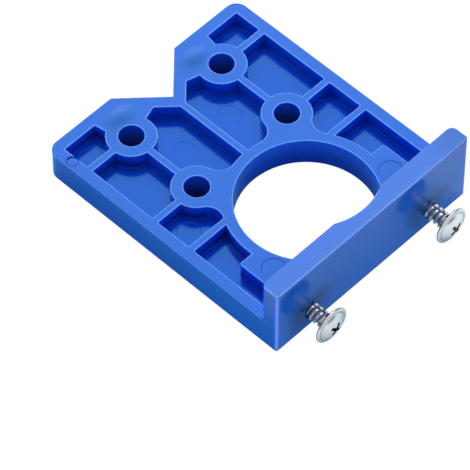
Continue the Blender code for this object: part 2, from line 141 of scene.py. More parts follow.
class Graph:
    """A node tree that is written as expressions, for shaders and for geometry."""

    def __init__(self, tree: bpy.types.NodeTree) -> None:
        """Work on a node tree."""
        self.tree = tree

    def node(self, kind: str, settings: dict | None = None, **inputs: object) -> bpy.types.Node:
        """Add a node, set its options, and fill its sockets.

        Args:
            kind: Blender's type name of the node.
            settings: Options of the node, set before its sockets. The option stops holds those of a ramp.
            **inputs: Values or wires by socket name, with spaces written as underscores, or by i and number.

        Returns:
            The new node.
        """
        made = self.tree.nodes.new(kind)
        for name, value in (settings or {}).items():
            if name == "stops":
                self.set_stops(made.color_ramp, value)
            else:
                setattr(made, name, value)
        for name, value in inputs.items():
            plain = name.replace("_", " ")
            by_number = name[0] == "i" and name[1:].isdigit()
            socket = made.inputs[int(name[1:])] if by_number else made.inputs[plain]
            self.fill(socket, value)
        return made

    @staticmethod
    def set_stops(ramp: bpy.types.ColorRamp, stops: list[tuple[float, tuple[float, float, float]]]) -> None:
        """Give a ramp new stops, each a position and a colour, in rising order."""
        while len(ramp.elements) > 1:
            ramp.elements.remove(ramp.elements[-1])
        for index, (position, colour) in enumerate(stops):
            stop = ramp.elements.new(position) if index else ramp.elements[0]
            stop.position = position
            stop.color = (*colour, 1.0)

    def fill(self, socket: bpy.types.NodeSocket, value: object) -> None:
        """Link a wire to a socket, or set a plain value on it."""
        inner = value.value if isinstance(value, Wire) else value
        if isinstance(inner, bpy.types.NodeSocket):
            self.tree.links.new(inner, socket)
        else:
            socket.default_value = inner

    def wire(self, node: bpy.types.Node, output: int | str = 0) -> Wire:
        """Return one output of a node as a wire."""
        return Wire(self, node.outputs[output])

    def math(self, operation: str, first: object, second: object = 0.0) -> Wire:
        """Add a Math node.

        Args:
            operation: The node's operation.
            first: First value or wire.
            second: Second value or wire, where the operation has one.

        Returns:
            The node's result.
        """
        made = self.tree.nodes.new("ShaderNodeMath")
        made.operation = operation
        self.fill(made.inputs[0], first)
        self.fill(made.inputs[1], second)
        return Wire(self, made.outputs[0])

    def noise(self, place: Wire, size: float, detail: float = 2.0) -> Wire:
        """Return a noise whose features are about a given size across."""
        return self.wire(self.node("ShaderNodeTexNoise", Vector=place, Scale=1.0 / size, Detail=detail, Roughness=0.5))

    def mix(self, share: object, first: object, second: object, blend: str = "MIX") -> Wire:
        """Mix two colours, each a wire or its red, green and blue.

        Args:
            share: Share of the second colour.
            first: First colour.
            second: Second colour.
            blend: The node's way of blending.

        Returns:
            The mixed colour.
        """
        first, second = (item if isinstance(item, Wire) else (*item, 1.0) for item in (first, second))
        made = self.node("ShaderNodeMix", {"data_type": "RGBA", "blend_type": blend}, i0=share, i6=first, i7=second)
        return self.wire(made, 2)


@dataclass(frozen=True)
class Patch:
    """A soft oval patch of the moulding that lies higher or lower than the rest, and whose colour carries painted
    light and shade.

    The centre and the reach along each axis are in metres on the finished body, the rise is in millimetres and the
    tone is the share by which the colour gains: painted light above zero, painted shade below.
    """

    centre: tuple[float, float, float]
    reach: tuple[float, float, float]
    rise: float = 0.0
    tone: float = 0.0

    def mask(self, graph: Graph, place: Wire) -> Wire:
        """Return one at the centre of the patch, fading to zero at its reach."""
        parts = graph.node("ShaderNodeSeparateXYZ", Vector=place)
        left = 1.0
        for axis in range(3):
            away = (graph.wire(parts, axis) - self.centre[axis]) / self.reach[axis]
            left = left - away * away
        kept = left.clamp(0.0, 1.0)
        return kept * kept


@dataclass(frozen=True)
class MouldedPlastic:
    """Blue plastic as it comes from a polished mould: glossy, with faint flow marks, with light and shade painted into
    its colour by kind of surface, and with soft patches.
    """

    name: str = "moulded_blue_plastic_painted_shading"
    # Ramp colours, one for each kind of surface: painted shade from hole to shade, painted light on the fence top, and
    # painted highlights for edge and ridge.
    hole: tuple[float, float, float] = (0.0005, 0.006, 0.2)
    wall: tuple[float, float, float] = (0.001, 0.115, 0.96)
    floor: tuple[float, float, float] = (0.001, 0.042, 0.53)
    shade: tuple[float, float, float] = (0.001, 0.024, 0.30)
    face: tuple[float, float, float] = (0.001, 0.078, 0.45)
    top: tuple[float, float, float] = (0.024, 0.088, 0.62)
    fence_top: tuple[float, float, float] = (0.070, 0.142, 0.70)
    edge: tuple[float, float, float] = (0.12, 0.29, 0.95)
    ridge: tuple[float, float, float] = (0.25, 0.43, 1.0)
    gloss_tint: tuple[float, float, float] = (0.15, 0.70, 0.95)
    mottling: float = 0.10
    smoothness: float = 0.15
    flow_size: float = 14.0 * MM
    grain_size: float = 0.35 * MM

    def build(self, patches: list[Patch]) -> bpy.types.Material:
        """Make the material, whose colour follows the light and shade painted on each surface.

        Args:
            patches: The soft patches of the moulding, with their bumps and painted shade.

        Returns:
            The material.
        """
        made = bpy.data.materials.new(self.name)
        made.use_nodes = True
        graph = Graph(made.node_tree)
        shader = made.node_tree.nodes["Principled BSDF"]
        place = graph.wire(graph.node("ShaderNodeTexCoord"), "Object")
        flow = graph.noise(place, self.flow_size, 3.0)
        grain = graph.noise(place, self.grain_size)
        # The painted light and shade of each corner picks its colour from the ramp.
        painted = graph.node("ShaderNodeAttribute", {"attribute_type": "GEOMETRY", "attribute_name": PAINTED_SHADING_LAYER})
        stops = [(kind.value, getattr(self, kind.name.lower())) for kind in PaintedShading]
        ramp = graph.node("ShaderNodeValToRGB", {"stops": stops}, Fac=graph.wire(painted, "Fac"))
        shade = 1.0 + (flow * 0.8 + grain * 0.2 - 0.5) * self.mottling
        relief = (flow - 0.5) * 0.03 + (grain - 0.5) * 0.0012
        # Patches add painted shade to the colour, and a bump to the surface.
        for patch in patches:
            mask = patch.mask(graph, place)
            shade = shade + mask * patch.tone
            relief = relief + mask * patch.rise
        grey = graph.node("ShaderNodeCombineColor", Red=shade, Green=shade, Blue=shade)
        tint = graph.mix(1.0, graph.wire(ramp), graph.wire(grey), "MULTIPLY")
        graph.fill(shader.inputs["Base Color"], tint)
        graph.fill(shader.inputs["Roughness"], self.smoothness + (grain - 0.5) * 0.05 + (flow - 0.5) * 0.06)
        shader.inputs["IOR"].default_value = 1.5
        shader.inputs["Specular Tint"].default_value = (*self.gloss_tint, 1.0)
        bump = graph.node("ShaderNodeBump", Strength=1.0, Distance=MM, Height=relief)
        graph.fill(shader.inputs["Normal"], graph.wire(bump))
        return made


@dataclass(frozen=True)
class PlatedSteel:
    """Bright zinc plating on cold-headed steel, with a faint tint, fine uneven gloss, and painted shade in the recess,
    under the head and in the thread's roots.
    """

    name: str = "plated_screw_steel"
    cool: tuple[float, float, float] = (0.82, 0.86, 0.88)
    warm: tuple[float, float, float] = (0.93, 0.90, 0.90)
    # Colour of the painted shade in the recess, under the head and in the thread's roots.
    shaded: tuple[float, float, float] = (0.02, 0.024, 0.03)
    smoothness: float = 0.2
    tint_size: float = 2.5 * MM
    grain_size: float = 0.12 * MM

    def build(self) -> bpy.types.Material:
        """Make the material."""
        made = bpy.data.materials.new(self.name)
        made.use_nodes = True
        graph = Graph(made.node_tree)
        shader = made.node_tree.nodes["Principled BSDF"]
        place = graph.wire(graph.node("ShaderNodeTexCoord"), "Object")
        tint_noise = graph.noise(place, self.tint_size)
        grain = graph.noise(place, self.grain_size)
        tint = graph.mix(tint_noise, self.cool, self.warm)
        # The painted shade of each corner mixes the plating towards the shaded colour.
        painted = graph.node("ShaderNodeAttribute", {"attribute_type": "GEOMETRY", "attribute_name": PAINTED_SHADE_LAYER})
        graph.fill(shader.inputs["Base Color"], graph.mix(graph.wire(painted, "Fac"), tint, self.shaded))
        shader.inputs["Metallic"].default_value = 1.0
        graph.fill(shader.inputs["Roughness"], self.smoothness + (grain - 0.5) * 0.12)
        bump = graph.node("ShaderNodeBump", Strength=0.6, Distance=0.01 * MM, Height=grain)
        graph.fill(shader.inputs["Normal"], graph.wire(bump))
        return made


class Plan:
    """Outlines in plan, in metres, as lists of points whose round stretches come from arcs."""

    STEP = math.radians(3.0)

    @staticmethod
    def arc(centre: Vector, radius: float, start: float, end: float) -> list[Vector]:
        """Return points along an arc.

        Args:
            centre: Centre of the arc.
            radius: Radius of the arc.
            start: First angle.
            end: Last angle.

        Returns:
            The points, both ends included.
        """
        count = max(3, round(abs(end - start) / Plan.STEP))
        turns = [start + (end - start) * step / count for step in range(count + 1)]
        return [Vector((centre[0] + radius * math.cos(turn), centre[1] + radius * math.sin(turn))) for turn in turns]

    @staticmethod
    def bearing(centre: Vector, point: Vector) -> float:
        """Return the direction from a centre to a point."""
        return math.atan2(point[1] - centre[1], point[0] - centre[0])

    @staticmethod
    def corner(before: Vector, at: Vector, after: Vector, radius: float) -> list[Vector]:
        """Return the arc that rounds a corner.

        Args:
            before: A point on the line into the corner.
            at: The sharp corner.
            after: A point on the line out of it.
            radius: Radius of the rounding.

        Returns:
            The points of the arc.
        """
        here = Vector(at)
        back = (Vector(before) - here).normalized()
        ahead = (Vector(after) - here).normalized()
        half = back.angle(ahead) / 2
        centre = here + (back + ahead).normalized() * radius / math.sin(half)
        start = Plan.bearing(centre, here + back * radius / math.tan(half))
        end = Plan.bearing(centre, here + ahead * radius / math.tan(half))
        turn = (end - start + math.pi) % (2 * math.pi) - math.pi
        return Plan.arc(centre, radius, start, start + turn)

    @staticmethod
    def rounded(corners: list[tuple[float, float, float]]) -> list[Vector]:
        """Return a closed outline with its corners, given as x, y and radius, rounded."""
        points: list[Vector] = []
        for index, (x, y, radius) in enumerate(corners):
            before = Vector(corners[index - 1][:2])
            after = Vector(corners[(index + 1) % len(corners)][:2])
            points += Plan.corner(before, Vector((x, y)), after, radius)
        return points

    @staticmethod
    def bends(points: list[Vector], radius: float) -> list[Vector]:
        """Return the arcs that round every point of a line of points but its two ends."""
        arcs = [Plan.corner(*points[index:index + 3], radius) for index in range(len(points) - 2)]
        return [point for arc in arcs for point in arc]

    @staticmethod
    def mirrored(points: list[Vector]) -> list[Vector]:
        """Return an outline on the other side of the jig."""
        return [Vector((-point.x, point.y)) for point in reversed(points)]


class Bench:
    """The operations that make, cut and finish meshes."""

    @staticmethod
    def link(name: str, mesh: bpy.types.Mesh) -> bpy.types.Object:
        """Put a mesh in the scene as an object."""
        made = bpy.data.objects.new(name, mesh)
        bpy.context.scene.collection.objects.link(made)
        return made

    @staticmethod
    def finish(name: str, shape: bmesh.types.BMesh) -> bpy.types.Object:
        """Turn a shape into an object of the scene."""
        mesh = bpy.data.meshes.new(name)
        shape.to_mesh(mesh)
        shape.free()
        return Bench.link(name, mesh)

    @staticmethod
    @contextmanager
    def edit(item: bpy.types.Object) -> Iterator[bmesh.types.BMesh]:
        """Open the mesh of an object as a shape, and write it back at the end."""
        shape = bmesh.new()
        shape.from_mesh(item.data)
        yield shape
        shape.to_mesh(item.data)
        shape.free()

    @staticmethod
    def slab(name: str, outline: list[Vector], bottom: float, top: float, foot: float = 0.0) -> bpy.types.Object:
        """Extrude an outline between two heights.

        Args:
            name: Name of the object.
            outline: Points of the outline, anticlockwise.
            bottom: Lower height.
            top: Upper height.
            foot: Radius of the rounding of the lower rim, which a cut leaves as a fillet.

        Returns:
            The closed solid.
        """
        shape = bmesh.new()
        low = [shape.verts.new((point.x, point.y, bottom)) for point in outline]
        face = shape.faces.new(low)
        face.normal_update()
        if face.normal.z > 0:
            face.normal_flip()
        rim = bmesh.ops.extrude_face_region(shape, geom=[face], use_keep_orig=True)
        raised = [item for item in rim["geom"] if isinstance(item, bmesh.types.BMVert)]
        bmesh.ops.translate(shape, verts=raised, vec=(0.0, 0.0, top - bottom))
        bmesh.ops.remove_doubles(shape, verts=shape.verts, dist=MERGE)
        bmesh.ops.recalc_face_normals(shape, faces=shape.faces)
        if foot > 0:
            edges = [edge for edge in shape.edges if all(abs(v.co.z - bottom) < MERGE for v in edge.verts)]
            bmesh.ops.bevel(shape, geom=edges, offset=foot, offset_type="OFFSET", segments=3, profile=0.5,
                            affect="EDGES", clamp_overlap=True)
        return Bench.finish(name, shape)

    @staticmethod
    def bar(name: str, foot: float, head: float, length: float, place: Matrix, sides: int) -> bpy.types.Object:
        """Make a round bar or cone about the Z axis of a placing matrix."""
        shape = bmesh.new()
        bmesh.ops.create_cone(shape, cap_ends=True, segments=sides, radius1=foot, radius2=head,
                              depth=length, matrix=place)
        return Bench.finish(name, shape)

    @staticmethod
    def lathe(name: str, profile: list[tuple[float, float]], sides: int) -> bpy.types.Object:
        """Turn a half section, given as radius and height, about Z into a closed solid."""
        shape = bmesh.new()
        points = [shape.verts.new((radius, 0.0, height)) for radius, height in profile]
        edges = [shape.edges.new(pair) for pair in zip(points[:-1], points[1:])]
        bmesh.ops.spin(shape, geom=points + edges, cent=(0, 0, 0), axis=(0, 0, 1), angle=2 * math.pi,
                       steps=sides, use_merge=True)
        bmesh.ops.remove_doubles(shape, verts=shape.verts, dist=MERGE)
        bmesh.ops.recalc_face_normals(shape, faces=shape.faces)
        return Bench.finish(name, shape)

    @staticmethod
    def join(target: bpy.types.Object, tools: list[bpy.types.Object], operation: str) -> None:
        """Apply exact Booleans to an object one after another and remove the tools."""
        for tool in tools:
            step = target.modifiers.new(tool.name, "BOOLEAN")
            step.operation = operation
            step.solver = "EXACT"
            step.object = tool
        Bench.settle(target)
        for tool in tools:
            bpy.data.objects.remove(tool, do_unlink=True)

    @staticmethod
    def round_rims(item: bpy.types.Object, height: float, radius: float, segments: int) -> None:
        """Round the sharp level rims of a solid at one height.

        Args:
            item: The solid.
            height: Height of the rims.
            radius: Radius of the rounding.
            segments: Facets across the rounding.
        """
        with Bench.edit(item) as shape:
            bmesh.ops.dissolve_limit(shape, angle_limit=COPLANAR, verts=shape.verts, edges=shape.edges)
            rims = []
            for edge in shape.edges:
                flat = all(abs(vert.co.z - height) < MERGE for vert in edge.verts)
                if flat and len(edge.link_faces) == 2 and edge.is_convex:
                    if any(abs(face.normal.z) < UPRIGHT for face in edge.link_faces):
                        rims.append(edge)
            bmesh.ops.bevel(shape, geom=rims, offset=radius, offset_type="OFFSET", segments=segments, profile=0.5,
                            affect="EDGES", clamp_overlap=True, loop_slide=True)
            bmesh.ops.remove_doubles(shape, verts=shape.verts, dist=MERGE)

    @staticmethod
    def ease_rims(item: bpy.types.Object, height: float, reach: float, drop: float) -> None:
        """Cut a narrow slope round every hole and pocket that opens in the level face at one height.

        Args:
            item: The solid.
            height: Height of the face.
            reach: Width of the slope, in plan.
            drop: How far the slope goes down.
        """
        with Bench.edit(item) as shape:
            bmesh.ops.dissolve_limit(shape, angle_limit=COPLANAR, verts=shape.verts, edges=shape.edges)
            shape.normal_update()
            slope = bmesh.ops.inset_region(shape, faces=Bench.level(shape, height), thickness=reach,
                                           use_boundary=True, use_even_offset=True)["faces"]
            level = set(Bench.level(shape, height))
            lowered = []
            for vert in {vert for face in slope for vert in face.verts}:
                walls = [face for face in vert.link_faces if face not in level]
                upright = all(abs(face.normal.z) < UPRIGHT and face.calc_center_median().z < height for face in walls)
                if walls and upright:
                    lowered.append(vert)
            bmesh.ops.translate(shape, verts=lowered, vec=(0.0, 0.0, -drop))

    @staticmethod
    def level(shape: bmesh.types.BMesh, height: float) -> list[bmesh.types.BMFace]:
        """Return the faces that lie level at one height."""
        return [face for face in shape.faces if all(abs(vert.co.z - height) < MERGE for vert in face.verts)]

    @staticmethod
    def close(shape: bmesh.types.BMesh) -> None:
        """Fill the slits of a mesh that should be closed."""
        loops = [edge for edge in shape.edges if edge.is_boundary]
        bmesh.ops.holes_fill(shape, edges=loops, sides=0)
        bmesh.ops.recalc_face_normals(shape, faces=shape.faces)

    @staticmethod
    def score(item: bpy.types.Object, planes: list[tuple[Vector, Vector]]) -> None:
        """Add edges to the upright faces of a mesh where planes, each a point and a normal, pass through them."""
        with Bench.edit(item) as shape:
            for point, normal in planes:
                shape.normal_update()
                walls = [face for face in shape.faces if abs(face.normal.z) < UPRIGHT]
                parts = {part for face in walls for part in (*face.verts, *face.edges)}
                bmesh.ops.bisect_plane(shape, geom=walls + list(parts), dist=MERGE, plane_co=point, plane_no=normal)
            Bench.close(shape)

    @staticmethod
    def paint(item: bpy.types.Object, name: str, value_at: Callable[[Vector, Vector], float]) -> None:
        """Write a value on every corner of every face, for the shader to read.

        Args:
            item: The object, in its place in the frame.
            name: Name of the attribute.
            value_at: Value for a corner's place and its face's normal.
        """
        mesh = item.data
        layer = mesh.attributes.new(name, "FLOAT", "CORNER")
        values = [0.0] * len(mesh.loops)
        for face in mesh.polygons:
            for index in face.loop_indices:
                values[index] = value_at(mesh.vertices[mesh.loops[index].vertex_index].co, face.normal)
        layer.data.foreach_set("value", values)

    @staticmethod
    def settle(item: bpy.types.Object) -> None:
        """Turn an object's modifiers into its mesh."""
        bpy.context.view_layer.update()
        shown = item.evaluated_get(bpy.context.evaluated_depsgraph_get())
        mesh = bpy.data.meshes.new_from_object(shown)
        item.modifiers.clear()
        item.data = mesh

    @staticmethod
    def place(item: bpy.types.Object, matrix: Matrix) -> None:
        """Put an object's place into its mesh, with the object left at the origin."""
        item.data.transform(matrix)
        item.matrix_world = Matrix.Identity(4)


@dataclass
class JigBody:
    """The moulded body: a ribbed plate with a fence, a cup hole, four pilot bosses and two screw pads."""

    width: float = 64.8 * MM
    cup_to_front: float = 21.1 * MM
    cup_to_back: float = 54.9 * MM
    thickness: float = 8.5 * MM
    fence_height: float = 21.5 * MM
    fence_thickness: float = 5.36 * MM
    pocket_depth: float = 4.1 * MM
    back_corner: float = 3.2 * MM
    fence_face_corner: float = 0.8 * MM
    fence_back_corner: float = 1.8 * MM
    notch_half_width: float = 10.86 * MM
    notch_depth: float = 10.37 * MM
    notch_shoulder: float = 0.6 * MM
    notch_root: float = 0.15 * MM
    cup_radius: float = 17.6 * MM
    ring_width: float = 2.9 * MM
    boss_spacing: float = 30.8 * MM
    fence_to_bosses: float = 37.2 * MM
    boss_rows: float = 21.83 * MM
    boss_radius: float = 6.3 * MM
    pilot_radius: float = 3.2 * MM
    pilot_draft: float = math.radians(1.2)
    hollow_radius: float = 4.0 * MM
    wall: float = 3.1 * MM
    rib: float = 1.85 * MM
    middle_rib: float = 9.54 * MM
    pocket_corner: float = 0.3 * MM
    pocket_foot: float = 0.15 * MM
    ear_pocket_length: float = 10.0 * MM
    ear_boss_bearing: float = math.radians(57.5)
    ear_web: float = 3.6 * MM
    notch_boss_bearing: float = math.radians(168.5)
    pad_half_width: float = 4.35 * MM
    cup_to_pad: float = 1.5 * MM
    pad_corner: float = 0.8 * MM
    screw_spacing: float = 40.6 * MM
    screw_height: float = 4.4 * MM
    screw_hole_radius: float = 2.22 * MM
    screw_hole_depth: float = 17.0 * MM
    gate_to_back: float = 7.1 * MM
    gate_radius: float = 1.24 * MM
    gate_bevel: float = 0.26 * MM
    gate_groove: float = 0.32 * MM
    gate_depth: float = 0.36 * MM
    pin_radius: float = 3.0 * MM
    pin_depth: float = 0.1 * MM
    outer_round: float = 0.42 * MM
    rim_round: float = 0.26 * MM
    rim_drop: float = 0.16 * MM
    base_round: float = 0.2 * MM
    lip: float = 0.6 * MM
    cut: float = 1.0 * MM
    shift: Vector = field(default_factory=Vector)

    def __post_init__(self) -> None:
        """Work out the places that follow from the sizes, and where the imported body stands."""
        low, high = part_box("jig_body")
        self.half = self.width / 2
        self.front = -self.cup_to_front
        self.fence_inner = self.front + self.fence_thickness
        self.floor = self.thickness - self.pocket_depth
        self.ring = self.cup_radius + self.ring_width
        self.boss_x = self.boss_spacing / 2
        self.near = Vector((self.boss_x, self.fence_inner + self.fence_to_bosses))
        self.far = Vector((self.boss_x, self.near.y + self.boss_rows))
        self.centre = Vector((0.0, 0.0))
        self.slope = self.notch_depth / self.notch_half_width
        self.rib_turn = math.asin(self.rib / 2 / self.boss_radius)
        self.shift = Vector(((low.x + high.x) / 2, low.y - self.front, low.z))

    def plate_outline(self) -> list[Vector]:
        """Return the outline of the plate, whose front lies flush under the fence."""
        back = self.cup_to_back
        return Plan.rounded([
            (-self.half, self.front, self.fence_face_corner),
            (self.half, self.front, self.fence_face_corner),
            (self.half, back, self.back_corner),
            (self.notch_half_width, back, self.notch_shoulder),
            (0.0, back - self.notch_depth, self.notch_root),
            (-self.notch_half_width, back, self.notch_shoulder),
            (-self.half, back, self.back_corner),
        ])

    def fence_outline(self) -> list[Vector]:
        """Return the outline of the fence."""
        return Plan.rounded([
            (-self.half, self.front, self.fence_face_corner),
            (self.half, self.front, self.fence_face_corner),
            (self.half, self.fence_inner, self.fence_back_corner),
            (-self.half, self.fence_inner, self.fence_back_corner),
        ])

    def hollow_centre(self, side: Side) -> Vector:
        """Return the centre of the hollow fillet between the ring and a near boss.

        Args:
            side: LEFT for the fillet towards the middle of the jig, RIGHT for the one towards the rail.

        Returns:
            The centre in plan, for the boss at positive X.
        """
        reach = self.near.length
        to_ring = self.ring + self.hollow_radius
        to_boss = self.boss_radius + self.hollow_radius
        along = (to_ring ** 2 - to_boss ** 2 + reach ** 2) / (2 * reach)
        across = math.sqrt(max(0.0, to_ring ** 2 - along ** 2)) * side.value
        unit = self.near / reach
        return Vector((along * unit.x + across * unit.y, along * unit.y - across * unit.x))

    def ear_pocket(self) -> list[Vector]:
        """Return the pocket in the corner behind a far boss."""
        outer = self.half - self.wall
        back = self.cup_to_back - self.wall
        front = self.far.y + self.rib / 2
        rim = Plan.arc(self.far, self.boss_radius, self.rib_turn, self.ear_boss_bearing)
        inner_back = Vector((outer - self.ear_pocket_length, back))
        line = [rim[0], Vector((outer, front)), Vector((outer, back)), inner_back, rim[-1]]
        corners = Plan.bends(line, self.pocket_corner)
        return corners + list(reversed(rim))

    def rail_pocket(self) -> list[Vector]:
        """Return the pocket along the rail between two bosses."""
        outer = self.half - self.wall
        inner = self.boss_x + self.rib / 2
        back = self.far.y - self.rib / 2
        front = self.near.y + self.rib / 2
        half = self.rib_turn
        far_rim = Plan.arc(self.far, self.boss_radius, -half, half - math.pi / 2)
        near_rim = Plan.arc(self.near, self.boss_radius, math.pi / 2 - half, half)
        line = [near_rim[-1], Vector((outer, front)), Vector((outer, back)), far_rim[0]]
        corners = Plan.bends(line, self.pocket_corner)
        rib_side = [Vector((inner, far_rim[-1].y)), Vector((inner, near_rim[0].y))]
        return corners + far_rim[:-1] + rib_side + near_rim[1:]

    def waist_pocket(self) -> list[Vector]:
        """Return the pocket beside a near boss, with the hollow that runs into the ring."""
        outer = self.half - self.wall
        back = self.near.y - self.rib / 2
        front = self.middle_rib + self.rib / 2
        hollow = self.hollow_centre(Side.RIGHT)
        boss_end = Plan.bearing(self.near, hollow)
        half = self.rib_turn
        rim = Plan.arc(self.near, self.boss_radius, -half, boss_end)
        touch = Plan.bearing(self.centre, hollow)
        bend = Plan.arc(hollow, self.hollow_radius, boss_end + math.pi, touch + math.pi)
        ring = Plan.arc(self.centre, self.ring, touch, math.asin(front / self.ring))
        line = [ring[-1], Vector((outer, front)), Vector((outer, back)), rim[0]]
        corners = Plan.bends(line, self.pocket_corner)
        return corners + rim + bend[1:] + ring[-1:]

    def front_pocket(self) -> list[Vector]:
        """Return the pocket between the ring, a screw pad, the rail and the fence."""
        outer = self.half - self.wall
        back = self.middle_rib - self.rib / 2
        pad = self.screw_spacing / 2 + self.pad_half_width
        hidden = (self.front + self.fence_inner) / 2
        start = math.asin(back / self.ring)
        ring = Plan.arc(self.centre, self.ring, start, -math.asin(self.cup_to_pad / self.ring))
        pad_corner = Plan.corner(ring[-1], Vector((pad, -self.cup_to_pad)), Vector((pad, hidden)), self.pad_corner)
        corner = Plan.corner(Vector((outer, hidden)), Vector((outer, back)), ring[0], self.pocket_corner)
        return [Vector((outer, hidden))] + corner + ring + pad_corner + [Vector((pad, hidden))]

    def centre_pocket(self) -> list[Vector]:
        """Return the pocket between the notch wall, the centre rib, the ring and two bosses."""
        drop = self.wall * math.hypot(1.0, self.slope)
        apex = self.cup_to_back - self.notch_depth - drop
        inner = self.rib / 2
        half = self.rib_turn
        hollow = self.hollow_centre(Side.LEFT)
        boss_start = Plan.bearing(self.near, hollow) % (2 * math.pi)
        touch = Plan.bearing(self.centre, hollow)
        ring = Plan.arc(self.centre, self.ring, math.acos(inner / self.ring), touch)
        bend = Plan.arc(hollow, self.hollow_radius, touch - math.pi, boss_start - math.pi)
        near_rim = Plan.arc(self.near, self.boss_radius, boss_start, math.pi / 2 + half)
        far_rim = Plan.arc(self.far, self.boss_radius, 3 * math.pi / 2 - half, self.notch_boss_bearing)
        rib_side = Vector((self.boss_x - self.rib / 2, far_rim[0].y))
        shoulder_x = far_rim[-1].x - self.ear_web
        shoulder = Vector((shoulder_x, apex + self.slope * shoulder_x))
        top = Vector((inner, apex + self.slope * inner))
        corners = Plan.bends([far_rim[-1], shoulder, top, ring[0]], self.pocket_corner)
        return ring + bend[1:] + near_rim[1:] + [rib_side] + far_rim[1:] + corners

    def pocket_cutters(self) -> list[bpy.types.Object]:
        """Make the cutter of every pocket, on both sides."""
        cutters = []
        for make in (self.ear_pocket, self.rail_pocket, self.waist_pocket, self.front_pocket, self.centre_pocket):
            outline = make()
            for points in (outline, Plan.mirrored(outline)):
                cutter = Bench.slab(make.__name__, points, self.floor, self.thickness + self.cut, self.pocket_foot)
                cutters.append(cutter)
        return cutters

    def pilot_cutters(self) -> list[bpy.types.Object]:
        """Make the cutters of the pilot holes, which narrow towards the base by the mould's draft."""
        taper = math.tan(self.pilot_draft)
        narrow = self.pilot_radius - taper * (self.thickness + self.cut)
        wide = self.pilot_radius + taper * self.cut
        cutters = []
        for side in Side:
            for boss in (self.near, self.far):
                place = Matrix.Translation((side.value * boss.x, boss.y, self.thickness / 2))
                cutters.append(Bench.bar("pilot_hole", narrow, wide, self.thickness + 2 * self.cut, place, 56))
        return cutters

    def cup_cutter(self) -> bpy.types.Object:
        """Make the cutter of the cup hole, which flares at the base and at the top of the fence."""
        radius, top = self.cup_radius, self.fence_height
        profile = [(0.0, -self.cut), (radius + self.base_round, -self.cut)]
        for step in range(4):
            turn = math.pi / 2 * step / 3
            profile.append((radius + self.base_round * (1 - math.sin(turn)), self.base_round * (1 - math.cos(turn))))
        for step in range(6):
            turn = math.pi / 2 * step / 5
            rise = top - self.outer_round * (1 - math.sin(turn))
            profile.append((radius + self.outer_round * (1 - math.cos(turn)), rise))
        profile += [(radius + self.outer_round, top + self.cut), (0.0, top + self.cut)]
        return Bench.lathe("cup_hole", profile, 144)

    def screw_cutters(self) -> list[bpy.types.Object]:
        """Make the cutters of the two screw holes."""
        depth = self.screw_hole_depth
        cutters = []
        for side in Side:
            x = side.value * self.screw_spacing / 2
            centre = Matrix.Translation((x, self.front + (depth - self.cut) / 2, self.screw_height))
            place = centre @ Matrix.Rotation(math.pi / 2, 4, "X")
            radius = self.screw_hole_radius
            cutters.append(Bench.bar("screw_hole", radius, radius, depth + self.cut, place, 32))
        return cutters

    def gate_cutter(self) -> bpy.types.Object:
        """Make the cutter of the round groove that the moulding gate leaves on one rail."""
        inner, outer = self.gate_radius, self.gate_radius + self.gate_groove
        low, disc = -self.gate_depth, self.gate_radius - self.gate_bevel
        section = [(disc, self.cut), (disc, 0.0), (inner, -self.gate_bevel), (inner, low), (outer, low),
                   (outer, self.cut)]
        cutter = Bench.lathe("gate_mark", section + section[:1], 40)
        x, y = -(self.half - self.wall / 2) + 0.15 * MM, self.cup_to_back - self.gate_to_back
        cutter.data.transform(Matrix.Translation((x, y, self.thickness)))
        return cutter

    def pin_places(self) -> list[Vector]:
        """Return where the mould's ejector pins pushed, for the side at positive X."""
        rail_middle = (self.near.y - self.rib / 2 + self.middle_rib + self.rib / 2) / 2
        return [
            Vector((24.2 * MM, rail_middle, self.floor)),
            Vector((self.boss_x / 2, (self.near.y + self.far.y) / 2 + 0.7 * MM, self.floor)),
            Vector((24.6 * MM, self.far.y + 4.6 * MM, self.floor)),
            Vector((self.screw_spacing / 2 - 0.3 * MM, -8.2 * MM, self.thickness)),
        ]

    def plate(self) -> bpy.types.Object:
        """Make the ribbed plate: rounded outside, with pockets whose floors are filleted."""
        plate = Bench.slab("moulded_body", self.plate_outline(), 0.0, self.thickness)
        Bench.round_rims(plate, self.thickness, self.outer_round, 4)
        Bench.round_rims(plate, 0.0, self.base_round, 2)
        Bench.join(plate, self.pocket_cutters() + self.pilot_cutters(), "DIFFERENCE")
        return plate

    def fence(self) -> bpy.types.Object:
        """Make the fence, rounded along its top, with its foot inside the plate."""
        fence = Bench.slab("fence", self.fence_outline(), self.floor / 2, self.fence_height)
        Bench.round_rims(fence, self.fence_height, self.outer_round, 4)
        return fence

    def painted_shading(self, place: Vector, normal: Vector) -> float:
        """Return the light and shade painted at a corner of the mesh.

        Args:
            place: The corner's place in the frame.
            normal: Normal of the corner's face.

        Returns:
            A place on the plastic's colour ramp.
        """
        here = place - self.shift
        level, steep = normal.z, math.hypot(normal.x, normal.y)
        if level < 0.05:
            return self.wall_painted_shading(here, normal)
        # Pocket floors get painted shade, and the sloping rims of pin marks on them a darker painted line.
        if here.z < self.floor + MM:
            return PaintedShading.WALL.value if self.in_pin_rim(here, level) else PaintedShading.FLOOR.value
        # The gate groove and the rims of pin marks on the tops get painted shade.
        if here.z < self.thickness - 0.9 * self.gate_depth and level > 0.9 or self.in_pin_rim(here, level):
            return PaintedShading.SHADE.value
        # The fence top is painted paler than the other tops, and rounded edges get a painted highlight.
        on_fence = here.z > self.thickness + MM
        flat = PaintedShading.FENCE_TOP if on_fence else PaintedShading.TOP
        if on_fence and here.y > self.fence_inner - 2 * self.outer_round:
            return flat.value
        lit = PaintedShading.RIDGE if on_fence else PaintedShading.EDGE
        return flat.value + (lit.value - flat.value) * min(1.0, 6 * level ** 2 * steep ** 2)

